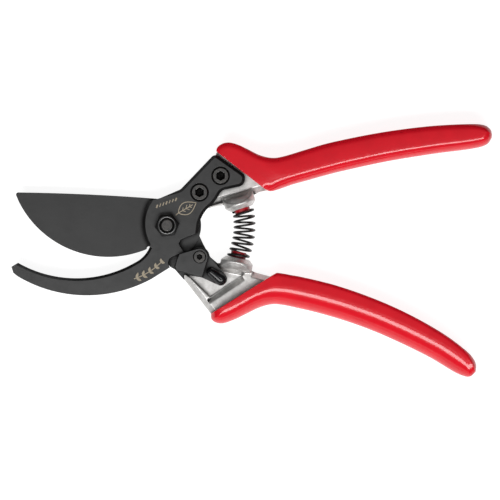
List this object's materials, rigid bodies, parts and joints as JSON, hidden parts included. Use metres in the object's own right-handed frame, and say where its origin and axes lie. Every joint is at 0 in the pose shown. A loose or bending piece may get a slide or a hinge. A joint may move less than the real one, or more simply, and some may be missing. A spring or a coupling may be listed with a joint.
{
  "type": "bypass pruner",
  "caption": "Hand-held bypass pruner: a curved blade slides past a hooked counter blade; dipped grips, a coil return spring and a thumb latch.",
  "frame": {"origin": "where the pivot's axis meets the plane the tool lies on, on the outer face of the bolt's head", "axes": "+Z along the pivot's axis towards the nut; +X from the pivot towards the ends of the handles; +Y towards the handle that carries the hook"},
  "size_m": [0.2209, 0.1174, 0.0169],
  "materials": {
    "coated_steel": "matte dark coating, polished chamfers",
    "blade_steel": "smooth dark low-friction coating",
    "forged_alloy": "satin, forged",
    "dipped_vinyl": "glossy dipped vinyl",
    "dark_screws": "black oxide",
    "stop_rubber": "semi-gloss moulded rubber",
    "pivot_steel": "dark plated",
    "bush_bronze": "turned bronze",
    "spring_steel": "black coated wire",
    "latch_steel": "matte dark coating",
    "knob_plastic": "glossy moulded plastic"
  },
  "bodies": {
    "hook_handle": {"hook_plate": "coated_steel", "upper_handle": "forged_alloy", "upper_grip": "dipped_vinyl", "hook_screw_front": "dark_screws", "hook_screw_rear": "dark_screws", "upper_bumper": "stop_rubber", "pivot_bolt": "pivot_steel", "pivot_washer": "pivot_steel", "pivot_bush": "bush_bronze", "pivot_nut": "pivot_steel"},
    "blade_handle": {"cutting_blade": "blade_steel", "lower_handle": "forged_alloy", "lower_grip": "dipped_vinyl", "blade_screw_front": "dark_screws", "blade_screw_rear": "dark_screws", "lower_bumper": "stop_rubber", "return_spring": "spring_steel", "latch_screw": "dark_screws", "latch_washer": "pivot_steel"},
    "latch": {"latch_plate": "latch_steel", "latch_knob": "knob_plastic"}
  },
  "joints": [
    {"name": "handle_pivot", "type": "hinge", "parent": "hook_handle", "child": "blade_handle", "pos_m": [0, 0, 0], "axis": [0, 0, 1], "range_deg": [0, 26], "stiffness_Nm_per_rad": 2.2, "springref_deg": -8.59, "deforming": ["return_spring"]},
    {"name": "latch_pivot", "type": "hinge", "parent": "blade_handle", "child": "latch", "pos_m": [0.01495, -0.01444, 0], "axis": [0, 0, 1], "range_deg": [-20, 0]}
  ]
}
